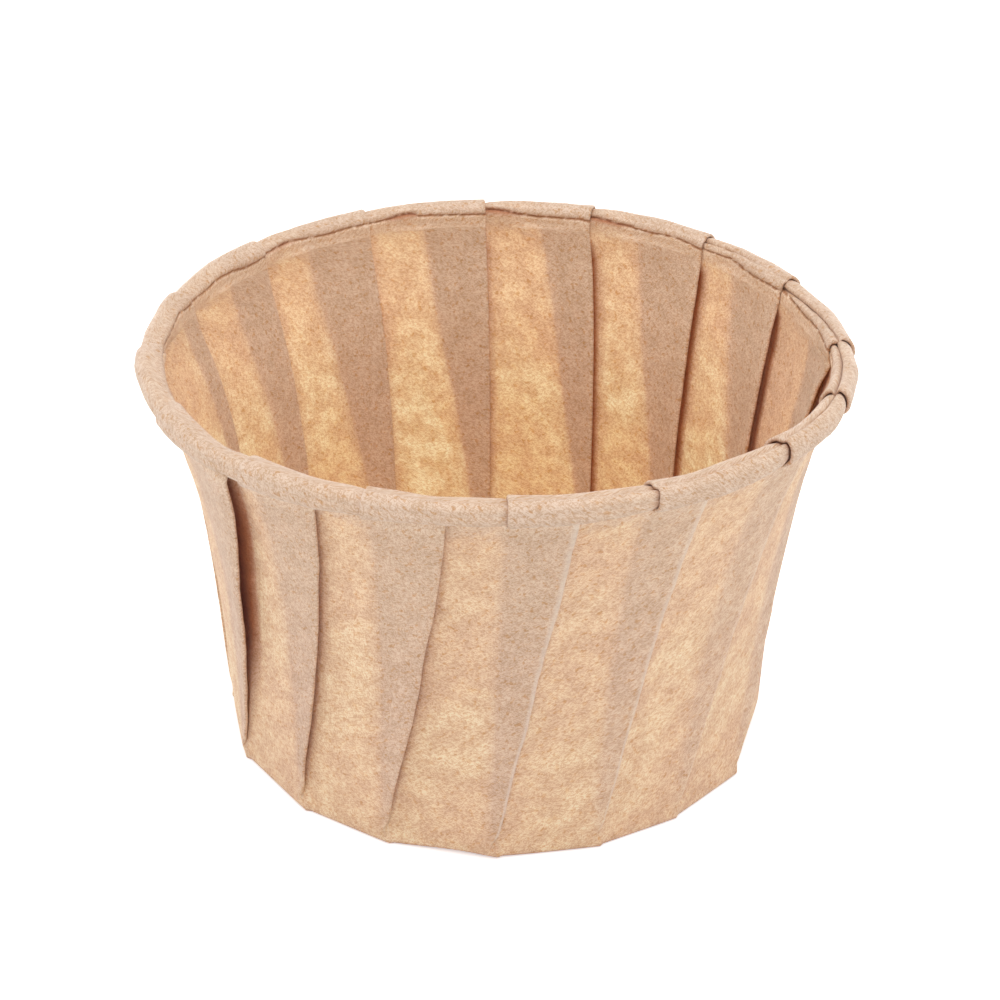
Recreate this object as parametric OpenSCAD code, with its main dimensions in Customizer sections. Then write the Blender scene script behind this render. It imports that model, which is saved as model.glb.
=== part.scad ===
// Pleated paper baking cup with a rolled rim, pressed from one round sheet of kraft paper.
// Sizes are in millimetres. The origin is the centre of the base, on the table, and +Z points up.
//
// The sheet stays flat over the base and is gathered into knife pleats up the wall. Each pleat has
// three layers: an inner one that ends at the inner fold, a middle one that runs back, and an outer
// one that starts at the outer fold. The inner folds run straight up the wall. The outer folds slant,
// because a pleat takes up more paper the further it is from the centre of the sheet. At the top the
// gathered sheet is curled outward into a bead, so the inner folds show as seams across the bead.

/* [Cup] */
// Diameter over the rolled rim
rim_d = 73.6; // [68:0.2:80]
// Diameter across the corners of the base
base_d = 57.4; // [52:0.2:62]
// Height from the table to the top of the rim
cup_h = 44.6; // [38:0.2:52]
// Share of the wall's widening that curves out towards the rim. The rest is a straight cone
top_flare = 0.62; // [0.3:0.02:0.7]
// Radius of the bend between the base and the wall, at the middle of the paper
foot_bend_r = 0.4; // [0.3:0.1:1.2]

/* [Paper] */
// Thickness of one layer of paper
paper_t = 0.18; // [0.14:0.01:0.24]
// Air between two layers that are folded together
layer_gap = 0.06; // [0.04:0.01:0.1]

/* [Pleats] */
// Number of pleats round the cup
pleat_count = 16; // [12:1:20]
// How far a pleat leans round the cup between its foot and the rim, in degrees
pleat_lean = 2; // [0:0.5:5]
// Angle of the first pleat's foot, counter-clockwise from +X, in degrees
pleat_start = 270; // [0:1:360]
// Height over which the flat sheet gathers into a full fold
gather_h = 3.4; // [2.4:0.2:5]
// Share of flatness that the panels between the pleats keep at the rim, 1 at the base
panel_flatness = 0.25; // [0:0.05:0.5]

/* [Rolled rim] */
// Width of the bead, from inside the cup to outside
bead_w = 2.9; // [2.5:0.1:3.5]
// Height of the bead
bead_h = 2.9; // [2.5:0.1:3.5]
// How far the bead stands in past the wall below it
bead_inset = 0.5; // [0.3:0.1:0.8]
// Air between the end of the curl and the wall
curl_gap = 0.15; // [0.1:0.05:0.3]

/* [Hidden] */
kraft = [0.80, 0.63, 0.47];

// Steps of the sheet along its section
wall_steps = 5;
bead_steps = 10;

// Layers of a pleat, counted from its middle layer
layer_pitch = paper_t + layer_gap;
stack_half = layer_pitch + paper_t/2;

// How much longer than a fold's nose the neighbouring panel stays clear of it
fold_clear = 3*paper_t;
// Spacing of the lines that will become the folds, where the sheet is still flat
flat_step = 2*paper_t;

pleat_a = 360/pleat_count;

// Bead: an oval that the middle layer follows, with the stack of layers on both sides of it
bead_r = rim_d/2 - bead_w/2;
bead_z = cup_h - bead_h/2;
bead_half_w = bead_w/2 - stack_half;
bead_half_h = bead_h/2 - stack_half;

// The wall runs into the oval under its inner side, at this angle round the oval from its outer side
neck_a = 180 + acos(1 - bead_inset/bead_half_w);

// The curl ends where the stack would meet the stack of the wall
curl_end_a = -acos((bead_half_w*cos(neck_a) + stack_half + curl_gap)/(bead_half_w + stack_half));

// Wall: from the foot, where it leaves the bend, to the neck under the bead
neck_r = bead_r + bead_half_w*cos(neck_a);
neck_z = bead_z + bead_half_h*sin(neck_a);
foot_r = base_d/2 - paper_t/2;
foot_lean_a = atan((neck_r - foot_r)*(1 - top_flare)/neck_z);
foot_z = paper_t/2 + foot_bend_r*(1 - sin(foot_lean_a));
floor_r = foot_r - foot_bend_r*cos(foot_lean_a);
floor_z = paper_t/2;

// What the sheet does at a line of its section
FLAT = 0;
STEP = 1;
FOLD = 2;

function oval(a) = [bead_r + bead_half_w*cos(a), bead_z + bead_half_h*sin(a)];

// Unit vector from the oval at angle a towards the inside of the bead
function oval_in(a) =
    let (v = [-cos(a)/bead_half_w, -sin(a)/bead_half_h])
    v/norm(v);

function wall_point(u) = [
    foot_r + (neck_r - foot_r)*((1 - top_flare)*u + top_flare*pow(u, 4)),
    foot_z + (neck_z - foot_z)*u
];

// Outward unit normal of the wall, at the share u of its height
function wall_out(u) =
    let (slope = (neck_r - foot_r)*(1 - top_flare + 4*top_flare*pow(u, 3))/(neck_z - foot_z))
    [1, -slope]/norm([1, slope]);

function bend_line(a) = [
    floor_r + foot_bend_r*cos(a),
    floor_z + foot_bend_r*(1 + sin(a)),
    cos(a),
    sin(a),
    FLAT
];

function wall_line(u, state) = concat(wall_point(u), wall_out(u), [state]);

function bead_line(a) = concat(oval(a), oval_in(a), [FOLD]);

// The crease under the bead: its normal is halfway between the wall's and the bead's
function neck_line() =
    let (v = wall_out(1) + oval_in(neck_a))
    concat(oval(neck_a), v/norm(v), [FOLD]);

// Section of the sheet from the edge of the flat base to the end of the curl, at the middle layer.
// Each line holds its radius, its height, the unit vector to the sheet's outer face, and its state.
gather_u = gather_h/(neck_z - foot_z);
lines = concat(
    [for (i = [0:1]) bend_line(-90 + i*(45 - foot_lean_a/2))],
    [wall_line(0, FLAT), wall_line(gather_u/2, STEP)],
    [for (i = [0:wall_steps - 1]) wall_line(gather_u + (1 - gather_u)*i/wall_steps, FOLD)],
    [neck_line()],
    [for (i = [1:bead_steps]) bead_line(neck_a + (curl_end_a - neck_a)*i/bead_steps)]
);
last_line = len(lines) - 1;

function line_r(i) = lines[i][0];
function line_z(i) = lines[i][1];
function line_state(i) = lines[i][4];

// Distance of line i from the centre of the flat sheet, along the paper
function run(i) =
    i == 0
        ? line_r(0)
        : run(i - 1) + norm([line_r(i) - line_r(i - 1), line_z(i) - line_z(i - 1)]);

// Length of round that one pleat takes up, which its middle and inner layers share
function overlap(i) = PI*(run(i) - line_r(i))/pleat_count;

function climb(i) = min(1, line_z(i)/neck_z);

// Length of round to the angle that it spans on line i
function arc_a(i, arc) = arc*180/(PI*line_r(i));

// Radius of the sheet on line i, at the angle a past an inner fold: flat panels between the corners,
// which stand at the outer folds, and rounder panels nearer the rim
function panel_r(i, a) =
    let (
        corner = a + (line_state(i) == FOLD ? arc_a(i, overlap(i)) : 0),
        turn = (corner % pleat_a + pleat_a) % pleat_a,
        flatness = 1 + (panel_flatness - 1)*climb(i),
        chord = cos(pleat_a/2)/cos(turn - pleat_a/2)
    )
    line_r(i)*(1 + flatness*(chord - 1));

// Lines that run up the sheet, nine to a pleat. Each gives its length of round past the inner fold
// and how far it lies out from the middle layer. The side is -1 for the inner face and 1 for the outer.
function flat_column(i, j, side) =
    j == 8
        ? [PI*line_r(i)/pleat_count, side*paper_t/2]
        : [(j - 3.5)*flat_step, side*paper_t/2];

function step_column(i, j, side) =
    let (face = side*paper_t/2)
    j == 8 ? [PI*line_r(i)/pleat_count, face]
    : j < 2 ? [(j - 3.5)*flat_step, face - layer_pitch]
    : j == 2 ? [-face, face - layer_pitch]
    : j == 3 ? [-face, -layer_pitch/3]
    : j == 4 ? [-face, layer_pitch/3]
    : j == 5 ? [-face, face + layer_pitch]
    : [(j - 3.5)*flat_step, face + layer_pitch];

function fold_column(i, j, side) =
    let (
        face = side*paper_t/2,
        under = overlap(i),
        round = 2*PI*line_r(i)/pleat_count,
        inner_nose = side < 0 ? paper_t : 0,
        outer_nose = side > 0 ? paper_t : 0
    )
    j == 0 ? [-under - fold_clear, face - layer_pitch]
    : j == 1 ? [-under - outer_nose, face - layer_pitch]
    : j == 2 ? [inner_nose, face - layer_pitch]
    : j == 3 ? [inner_nose, -face]
    : j == 4 ? [-under - outer_nose, -face]
    : j == 5 ? [-under - outer_nose, face + layer_pitch]
    : j == 6 ? [0, face + layer_pitch]
    : j == 7 ? [fold_clear, face + layer_pitch]
    : [(round - under)/2, face];

function column(i, j, side) =
    line_state(i) == FOLD ? fold_column(i, j, side)
    : line_state(i) == STEP ? step_column(i, j, side)
    : flat_column(i, j, side);

// Point of line i on column j of pleat k
function sheet_point(i, k, j, side) =
    let (
        place = column(i, j, side),
        a = arc_a(i, place[0]),
        r = panel_r(i, a) + place[1]*lines[i][2],
        turn = pleat_start + pleat_lean*climb(i) - k*pleat_a - a
    )
    [r*cos(turn), r*sin(turn), line_z(i) + place[1]*lines[i][3]];

columns_each = 9;
around = columns_each*pleat_count;

function face_points(side) = [
    for (i = [0:last_line])
        for (k = [0:pleat_count - 1])
            for (j = [0:columns_each - 1])
                sheet_point(i, k, j, side)
];

// One closed skin: the inner face, the outer face, the middle of both, and the cut edge between them
module liner() {
    face_size = (last_line + 1)*around;
    inner_centre = 2*face_size;
    outer_centre = inner_centre + 1;
    points = concat(
        face_points(-1),
        face_points(1),
        [[0, 0, paper_t], [0, 0, 0]]
    );
    inner_faces = [
        for (i = [0:last_line - 1])
            for (c = [0:around - 1])
                let (
                    p = i*around + c,
                    q = i*around + (c + 1) % around,
                    turned_back = c % columns_each == 3
                )
                    each turned_back
                        ? [[p, p + around, q + around], [p, q + around, q]]
                        : [[p, p + around, q], [q, p + around, q + around]]
    ];
    outer_faces = [for (f = inner_faces) [f[0] + face_size, f[2] + face_size, f[1] + face_size]];
    floor_faces = [
        for (c = [0:around - 1])
            let (d = (c + 1) % around)
                each [[inner_centre, c, d], [outer_centre, d + face_size, c + face_size]]
    ];
    edge_faces = [
        for (c = [0:around - 1])
            let (p = last_line*around + c, q = last_line*around + (c + 1) % around)
                each [[p, p + face_size, q], [q, p + face_size, q + face_size]]
    ];
    color(kraft)
        polyhedron(points, concat(inner_faces, outer_faces, floor_faces, edge_faces), convexity = 10);
}

liner();
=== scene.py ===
"""Pleated kraft paper cupcake liner, as a photographer would stage it.

The liner is made the way the real one is: a round blank is cut, pressed into sixteen knife pleats,
curled over at its rim, and given the thickness of the paper. Sizes in the classes are millimetres,
and the scene itself is in metres.
"""

import logging
import math
from dataclasses import dataclass, field, fields
from enum import Enum

import bpy
from mathutils import Matrix, Vector, noise


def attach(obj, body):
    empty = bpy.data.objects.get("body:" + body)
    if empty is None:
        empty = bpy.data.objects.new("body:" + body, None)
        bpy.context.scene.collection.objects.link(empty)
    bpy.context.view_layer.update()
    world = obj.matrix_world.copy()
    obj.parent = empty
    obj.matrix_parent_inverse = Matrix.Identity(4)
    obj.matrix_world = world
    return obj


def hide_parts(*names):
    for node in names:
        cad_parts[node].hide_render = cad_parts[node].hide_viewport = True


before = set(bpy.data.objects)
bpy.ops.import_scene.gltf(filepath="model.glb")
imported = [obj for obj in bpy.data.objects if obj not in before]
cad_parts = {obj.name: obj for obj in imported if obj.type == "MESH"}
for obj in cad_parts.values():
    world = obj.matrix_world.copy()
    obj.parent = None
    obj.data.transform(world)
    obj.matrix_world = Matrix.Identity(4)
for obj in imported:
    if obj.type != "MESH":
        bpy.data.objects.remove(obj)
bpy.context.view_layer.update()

log = logging.getLogger("liner")
Pair = tuple[float, float]
Triple = tuple[float, float, float]
MM = 0.001
WHITE = (1.0, 1.0, 1.0)


def ease(low: float, high: float, value: float) -> float:
    """Smooth step from 0 at low to 1 at high."""
    t = min(1.0, max(0.0, (value - low)/(high - low)))
    return t*t*(3.0 - 2.0*t)


def hump(off: float, width: float) -> float:
    """Smooth hump: 1 where off is 0, and next to nothing at twice the width."""
    return math.exp(-(off/width)**2)


def turn_apart(a: float, b: float) -> float:
    """Signed turn from b to a in degrees, from -180 to 180."""
    return (a - b + 180.0) % 360.0 - 180.0


def turn_hump(turn: float, at: float, width: float) -> float:
    """Smooth hump round the cup: 1 at a turn, and next to nothing twice the width away."""
    return hump(turn_apart(turn, at), width)


def round_place(turn: float, radius: float, height: float) -> Vector:
    """Point at a turn in degrees, a distance from the cup's axis and a height."""
    a = math.radians(turn)
    return Vector((radius*math.cos(a), radius*math.sin(a), height))


def select_only(obj: bpy.types.Object) -> None:
    """Make one object the only selected and the active one."""
    bpy.ops.object.select_all(action="DESELECT")
    obj.select_set(True)
    bpy.context.view_layer.objects.active = obj


class Zone(Enum):
    """Stretch of the sheet that a ring of it lies in."""

    FLOOR = "floor"
    BEND = "bend"
    WALL = "wall"
    BEAD = "bead"


@dataclass(frozen=True)
class Pleat:
    """One knife pleat, counted clockwise. Angles are counter-clockwise from +X, in degrees.

    Attributes:
        seam: Where its inner fold crosses the rolled rim.
        foot: Where it starts, at the edge of the base.
        late: How its inner fold leans: 1 is straight, and above 1 it turns mostly near the rim.
        reach: Its overlap, as a share of an even pleat's.
        low_reach: What the lower half of the wall adds to that share.
        stand: How far its outer fold stands off the wall, in mm.
        stand_full: Height at which it stands off that far, in mm.
        open_in: How far its inner fold stands off the wall inside the cup, in mm.
        gape: How far its inner fold stands off the bead, in mm.
        bow: How far its seam bows along the rim at the bead's outer side, in mm.
        groove: Depth of the groove that parts the bead before its seam into two rolls, in mm.
        groove_at: Places of that groove round the bead's section, in degrees: at the seam
            before this pleat's, and at this pleat's seam.
        arch: Arch of the crease under the bead past its seam: height, place and width, in mm.
        settle: Stretch of the panel after it that dips below the next pleat, as shares of it.
        corner: How much further out than the others the base's corner stands, in mm.
        rub_and_highlight: How pale its outer fold's edge is, 0 to 1: rubbing and a painted
            highlight.
    """

    seam: float
    foot: float
    late: float = 1.0
    reach: float = 1.0
    low_reach: float = 0.0
    stand: float = 0.04
    stand_full: float = 9.0
    open_in: float = 0.0
    gape: float = 0.0
    bow: float = 0.0
    groove: float = 0.0
    groove_at: Pair = (105.0, 105.0)
    arch: Triple = (0.0, 0.0, 1.0)
    settle: Pair = (0.1, 0.9)
    corner: float = 0.0
    rub_and_highlight: float = 0.35


PLEATS: tuple[Pleat, ...] = (
    Pleat(seam=361.7, foot=358.0, late=3, open_in=0.45, gape=0.12, bow=0.2, groove=0.80,
          groove_at=(152.0, 98.0)),
    Pleat(seam=340.8, foot=330.8, gape=0.24, bow=0.6, groove=1.05, groove_at=(124.0, 92.0),
          corner=0.4),
    Pleat(seam=319.6, foot=309.8, reach=1.02, gape=0.27, bow=0.7, groove=0.45,
          groove_at=(89.0, 84.0), corner=0.2, rub_and_highlight=0.8),
    Pleat(seam=294.2, foot=291.1, reach=0.92, stand=0.0, gape=0.14, bow=0.5, groove=0.32,
          groove_at=(80.0, 71.0), corner=0.3, rub_and_highlight=1.0),
    Pleat(seam=271.9, foot=269.9, reach=0.95, stand=0.0, gape=0.10, bow=0.1, groove=0.22,
          groove_at=(71.0, 84.0), corner=0.5, rub_and_highlight=1.0),
    Pleat(seam=250.2, foot=247.4, stand=0.50, gape=0.05, groove=0.14, groove_at=(70.0, 90.0),
          corner=0.1),
    Pleat(seam=229.1, foot=226.5, stand=0.50),
    Pleat(seam=205.2, foot=202.9, reach=1.60, low_reach=0.75, stand=1.20, stand_full=28.0,
          settle=(0.64, 0.97)),
    Pleat(seam=183.7, foot=178.6, reach=0.22, stand=0.0),
    Pleat(seam=162.8, foot=157.0, late=3, reach=0.42, stand=0.30, bow=0.9),
    Pleat(seam=140.1, foot=137.0, late=3, reach=0.85, stand=0.45, arch=(0.35, 3.0, 2.5)),
    Pleat(seam=116.1, foot=114.4, late=3, reach=1.15, stand=0.60, open_in=0.04, gape=0.05,
          arch=(0.60, 4.4, 2.2)),
    Pleat(seam=93.2, foot=92.0, late=3, reach=0.98, stand=0.15, open_in=0.10, gape=0.06,
          arch=(0.85, 0.0, 3.6)),
    Pleat(seam=73.1, foot=68.2, late=3, reach=0.80, stand=0.15, open_in=0.24, gape=0.10,
          arch=(0.60, 0.0, 4.5)),
    Pleat(seam=49.4, foot=46.6, late=3, reach=1.12, stand=0.25, open_in=0.44, gape=0.10,
          groove=0.10, groove_at=(134.0, 124.0)),
    Pleat(seam=27.3, foot=22.6, late=3, reach=1.18, stand=0.35, open_in=0.55, gape=0.12, bow=0.2,
          groove=0.42, groove_at=(123.0, 109.0)),
)


@dataclass(frozen=True)
class Ring:
    """One ring of the sheet, at the middle of the paper.

    Attributes:
        run: Distance from the centre of the flat blank, in mm.
        radius: Distance from the cup's axis, in mm.
        height: Height over the table, in mm.
        out_r: Part of the sheet's outer normal that points away from the axis.
        out_z: Part of the sheet's outer normal that points up.
        zone: Stretch of the sheet.
        curl: Angle round the bead's section from its outer side, in degrees, on the bead only.
    """

    run: float
    radius: float
    height: float
    out_r: float
    out_z: float
    zone: Zone
    curl: float = 0.0


@dataclass
class CupSection:
    """Section of the pressed sheet, from the centre of the base to the end of the curl, in mm.

    Attributes:
        base_r: Radius of the base at its corners.
        bend_r: Radius of the bend at the foot of the wall.
        rim_r: Radius over the bead.
        flare: Share of the wall's widening that curves out towards the rim.
        bead_inset: How far the bead stands in past the wall below it.
        layer: Distance between two layers of a pleat.
        bead_step: How far the bead's skin steps at a seam, to each side of its middle.
        step_out: Share of that step by which the bead's middle line lies further in.
        curl_gap: Air between the end of the curl and the wall.
        straight_from: Height from which the wall runs straight up at the back.
        floor_rings: Radii of the rings on the floor.
        foot_step: Distance between the first rings up the wall.
        crease_rings: Distances of the last rings on the wall from the neck.
        neck_curls: Degrees past the neck of the first rings on the bead.
        curl_steps: Degrees between the other rings on the bead, where it is plain and fine.
        fine_curls: Stretches of the bead with fine rings, in degrees round its section.
        tail_from: Where the last stretch of the curl begins, in degrees round the section.
    """

    paper: float = 0.16
    base_r: float = 28.7
    bend_r: float = 0.45
    height: float = 44.6
    rim_r: float = 36.8
    flare: float = 0.56
    bead_w: float = 2.9
    bead_h: float = 2.9
    bead_inset: float = 0.88
    layer: float = 0.20
    bead_step: float = 0.16
    step_out: float = 0.6
    curl_gap: float = 0.15
    straight_from: float = 36.5
    floor_rings: tuple[float, ...] = (8.0, 16.0, 22.0, 26.0)
    bend_steps: int = 4
    foot_step: float = 0.55
    foot_steps: int = 6
    wall_steps: int = 26
    crease_rings: tuple[float, ...] = (1.6, 1.1, 0.75, 0.5, 0.32, 0.16)
    neck_curls: Pair = (4.0, 10.0)
    curl_steps: Pair = (9.0, 4.5)
    fine_curls: tuple[Pair, ...] = ((162.0, 190.0), (66.0, 134.0), (-12.0, 12.0))
    tail_from: float = -20.0
    tail_steps: int = 4

    def __post_init__(self) -> None:
        """Work out the places that follow from the sizes."""
        stack = self.layer + self.paper/2
        skin = self.paper/2 + self.bead_step*self.step_out
        self.half_w = self.bead_w/2 - skin
        self.half_h = self.bead_h/2 - skin
        self.bead_r = self.rim_r - self.bead_w/2
        self.bead_z = self.height - self.bead_h/2
        self.neck = 180.0 + math.degrees(math.acos(1.0 - self.bead_inset/self.half_w))
        neck_in = self.half_w*math.cos(math.radians(self.neck))
        tuck = (neck_in + stack + self.curl_gap)/(self.half_w + stack)
        self.tail = -math.degrees(math.acos(tuck))
        self.neck_r, self.neck_z = self.oval(self.neck)
        self.foot_r = self.base_r - self.paper/2
        lean = math.atan((self.neck_r - self.foot_r)*(1 - self.flare)/self.neck_z)
        self.lean = math.degrees(lean)
        self.foot_z = self.paper/2 + self.bend_r*(1 - math.sin(lean))

    def oval(self, curl: float) -> Pair:
        """Radius and height of the bead's middle line at an angle round its section."""
        a = math.radians(curl)
        return self.bead_r + self.half_w*math.cos(a), self.bead_z + self.half_h*math.sin(a)

    def oval_in(self, curl: float) -> Pair:
        """Unit vector from the bead's middle line towards the inside of the bead."""
        a = math.radians(curl)
        x, z = -math.cos(a)/self.half_w, -math.sin(a)/self.half_h
        size = math.hypot(x, z)
        return x/size, z/size

    def wall(self, u: float) -> tuple[float, float, float, float]:
        """Radius, height and outer normal of the wall at a share of its height."""
        wide = self.neck_r - self.foot_r
        tall = self.neck_z - self.foot_z
        r = self.foot_r + wide*((1 - self.flare)*u + self.flare*u**4)
        slope = wide*(1 - self.flare + 4*self.flare*u**3)/tall
        size = math.hypot(1.0, slope)
        return r, self.foot_z + tall*u, 1.0/size, -slope/size

    def wall_shares(self) -> list[float]:
        """Shares of the wall's height at which it has rings."""
        tall = self.neck_z - self.foot_z
        steps = [self.foot_step*n/tall for n in range(1, self.foot_steps + 1)]
        crease = [1.0 - mm/tall for mm in self.crease_rings]
        low, rest = steps[-1], crease[0] - steps[-1]
        steps += [low + rest*n/self.wall_steps for n in range(1, self.wall_steps)]
        return steps + crease

    def curls(self) -> list[float]:
        """Angles round the bead's section at which it has rings."""
        curls = [self.neck - past for past in self.neck_curls]
        plain, finer = self.curl_steps
        while curls[-1] > self.tail_from:
            fine = any(low < curls[-1] < top for low, top in self.fine_curls)
            curls.append(curls[-1] - (finer if fine else plain))
        last, steps = curls[-1], self.tail_steps
        return curls + [last + (self.tail - last)*n/steps for n in range(1, steps + 1)]

    def rings(self) -> list[Ring]:
        """All the rings of the sheet, from the middle of the base outwards."""
        raw: list[tuple[float, float, float, float, Zone, float]] = []
        for r in self.floor_rings:
            raw.append((r, self.paper/2, 0.0, -1.0, Zone.FLOOR, 0.0))
        floor_r = self.foot_r - self.bend_r*math.cos(math.radians(self.lean))
        for n in range(self.bend_steps + 1):
            a = math.radians(-90.0 + n*(90.0 - self.lean)/self.bend_steps)
            r, z = floor_r + self.bend_r*math.cos(a), self.paper/2 + self.bend_r*(1 + math.sin(a))
            raw.append((r, z, math.cos(a), math.sin(a), Zone.BEND, 0.0))
        for u in self.wall_shares():
            raw.append((*self.wall(u), Zone.WALL, 0.0))
        _r, _z, x, z = self.wall(1.0)
        in_x, in_z = self.oval_in(self.neck)
        size = math.hypot(x + in_x, z + in_z)
        normal = ((x + in_x)/size, (z + in_z)/size)
        raw.append((self.neck_r, self.neck_z, *normal, Zone.WALL, self.neck))
        for curl in self.curls():
            raw.append((*self.oval(curl), *self.oval_in(curl), Zone.BEAD, curl))
        out: list[Ring] = []
        run = raw[0][0]
        for n, (r, z, x, y, zone, curl) in enumerate(raw):
            if n:
                run += math.hypot(r - raw[n - 1][0], z - raw[n - 1][1])
            out.append(Ring(run, r, z, x, y, zone, curl))
        return out


@dataclass(frozen=True)
class Spot:
    """Place of one column of the sheet across a pleat.

    Attributes:
        part: Stretch of the pleat: "under", "inner nose", "back", "outer nose", "over" or
            "panel".
        share: Share of that stretch, from 0 to 1, in the order of the sheet.
    """

    part: str
    share: float


@dataclass(frozen=True)
class Lay:
    """How a column lies on a ring. What it shares with the finish means the same.

    Attributes:
        along: Distance past the inner fold, in mm.
        depth: Distance from the middle layer, away from the cup or into the bead, in mm.
        later: Share of the next stretch's groove that it takes, against its own.
        arch: How far the crease under the bead climbs there, in mm.
    """

    along: float
    depth: float
    later: float = 0.0
    rub_and_highlight: float = 0.0
    painted_layer_shade: float = 1.0
    arch: float = 0.0
    painted_shade: float = 0.0
    outside: float = 0.0


@dataclass(frozen=True)
class Finish:
    """What the paper is like at one point. Each field becomes an attribute of the mesh.

    Attributes:
        rub_and_highlight: Paleness of the fold, 0 to 1: partly rubbing, partly a painted highlight.
        below_rim: How far it lies below the crease under the bead, in mm.
        painted_layer_shade: Painted shade on the light through it where other layers lie, 0 to 1.
        painted_shade: Painted shade in a fold, slit or groove, under an arch and on the bend, 0 to
            1.
        outside: Painted shade on its outer face alone behind a flap, from 0 to 1.
    """

    rub_and_highlight: float
    below_rim: float
    painted_layer_shade: float
    painted_shade: float
    outside: float


# Heights over the table in mm, from where a thing sets in to where it is full or gone
WANDER_IN = (2.0, 10.0)
LOW_REACH_OUT = (6.0, 26.0)
STAND_FROM = 0.4
OPEN_IN = (1.0, 8.0)
BUCKLE_IN = (1.0, 8.0)
LIFT_OUT = (2.0, 16.0)
FOOT_LINE = (0.14, 0.42)

# Shares of the wall's height, in the same way
STAND_OUT = (0.72, 1.0)
TUCK_IN = (0.968, 1.0)
OPEN_OUT = (0.93, 1.0)
CORNER_OUT = (0.0, 0.6)

# Shares of the gather at which the folds have risen, and from which they pull in
RISEN_AT, PULL_FROM = 0.5, 0.3
# Wander of the outer folds and buckles of the paper: size in mm, waves to a mm and seed
FOLD_WANDER = ((0.30, 0.09, 3.0), (0.12, 0.33, 5.0))
BUCKLES, BUCKLE_R = ((0.16, 0.13, 0.0), (0.07, 0.4, 7.0)), 30.0
# Dents of the bead: size in mm, waves to a radian, and to a degree round its section
DENT_SIZE, DENT_WAVES, DENT_CURL = 0.10, 9.0, 0.01
# Share of a flap's stand-off that is lost towards the rim, and then just below it
STAND_LOST, TUCK_LOST = 0.4, 0.85
# How sharply a flap turns off the wall, and how sharply an inner fold does
FLAP_CURVE, OPEN_CURVE = 1.6, 2.0
# Stretches of the bead's section, in degrees round it
GAPE_IN, GAPE_OUT = (-75.0, -10.0), (150.0, 215.0)
LEDGE = (-62.0, 5.0, 62.0)
BOW_FROM, BOW_SPAN, BOW_PAST_GROOVE = -70.0, 280.0, (-10.0, 14.0)
# Share of a seam's bow that is lost past a groove, how that grows with the groove, and its length
BOW_LOST, BOW_BY_GROOVE, BOW_LONG = 0.8, 3.0, 5.0
# How far before the neck the flaps die out and the wall's layers turn into the bead's, in degrees
FLAP_PAST_NECK, TAPER_PAST_NECK = 60.0, 50.0

# The side that was pressed flat by the rolling iron: where, and how near and far, in degrees
FRONT_AT, FRONT_OUT = 258.0, (40.0, 70.0)
LEDGE_DEEP, LEDGE_FRONT, LEDGE_TOP = 0.10, 0.13, 0.10
# The groove on the bead: waves to a degree, wander in degrees, widths of hollow and painted shade
GROOVE_WAVES, GROOVE_WANDER, GROOVE_WIDE, GROOVE_SHADE = 0.45, 7.0, 10.0, 5.0
# Share of its depth that it has at its pleat's seam, what it gains to the seam before, how uneven
# it is, and the depths in mm between which its painted shade darkens
GROOVE_START, GROOVE_GAIN, GROOVE_UNEVEN, GROOVE_DARK = 0.7, 0.3, 0.3, (0.2, 0.9)
# Shares past its two seams to which the taper of the bead's visible layer goes on
SKIN_FROM, SKIN_TO = -0.1, 1.2
# The crease under the bead: how much higher it runs at the back, and its wander, by size in mm,
# waves to a radian and seed
CREASE_RISE, CREASE_BACK = 1.80, (95.0, 120.0)
CREASE_WANDER = ((0.40, 6.0, 9.0), (0.10, 22.0, 4.0))
CREASE_WIDE, CREASE_DEEP = 0.14, 0.20
# What a mm of arch adds to the crease's width below it, and to its depth
ARCH_WIDER, ARCH_DEEPER = 0.30, 0.20
# Painted shade under an arch: how far below the crease and how much wider by its height, how
# wide at least in mm, and how dark by its height
SHADE_BELOW, SHADE_WIDER, SHADE_WIDE, SHADE_DARK = 0.45, 0.42, 0.12, 2.4
# The back, where the upper wall runs straight: where and how near and far, in degrees, and the
# share of the straight stretch in which the wall turns upright
BACK_AT, BACK_OUT, BACK_UPRIGHT = 90.0, (75.0, 100.0), 0.7

# Folds: width of a nose as a share of its height, and how much thinner the layers are on the bead
NOSE_WIDE, BEAD_THINNER = 1.2, 0.08
# Share of a gape that the layer below and the layer above give way by, and the gape's length in
# mm before the seam and past it
GAPE_BELOW, GAPE_ABOVE, GAPE_LONG, GAPE_PAST = 0.35, 0.65, 3.0, 0.4
# Share of the next stretch's groove that the folded layers take
FOLDED_SHARE = 0.3
# Openings in mm at which a slit's painted shade is darkest, and a flap's begins and is full
SLIT_FULL, FLAP_SHADE = 0.25, (0.1, 1.1)
# Slit's painted shade: how dark on the inner fold, and shares of the outer layer it darkens over
NOSE_DARK, SLIT_OVER = 0.6, (0.7, 1.0)
# Width in mm of a slit's painted shade on the panel, and how much narrower it is on the bead
SLIT_WIDE, SLIT_NARROWER = 0.65, 0.35
# Shares of the inner layer where a flap's painted shade fades, and its width in mm on the panel
FLAP_UNDER, FLAP_WIDE = (0.3, 0.9), 0.5
# Overlap in mm from which the painted shade of a pleat's layers on the light through is full
OVERLAP_SHADES = 1.2
# Distances in mm from a panel's two ends where its other layers' painted shade begins and stops
SHADE_START, SHADE_STOP = (-0.6, 1.4), (-0.4, 0.7)
# Places round the cup with less and with more painted layer shade: where and how wide, in degrees
PALE_SIDE, DARK_SIDE = (318.0, 26.0), (19.0, 8.0)
PALE_SHARE, DARK_SHARE = 0.6, 0.8

# Rim sprung out of round and out of level: waves to a turn, cosine and sine part in mm
RIM_WIDER = ((2, 0.08, 0.11), (3, -0.09, -0.17))
RIM_HIGHER = ((1, 0.06, -0.14), (2, -0.21, -0.32))
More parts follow.
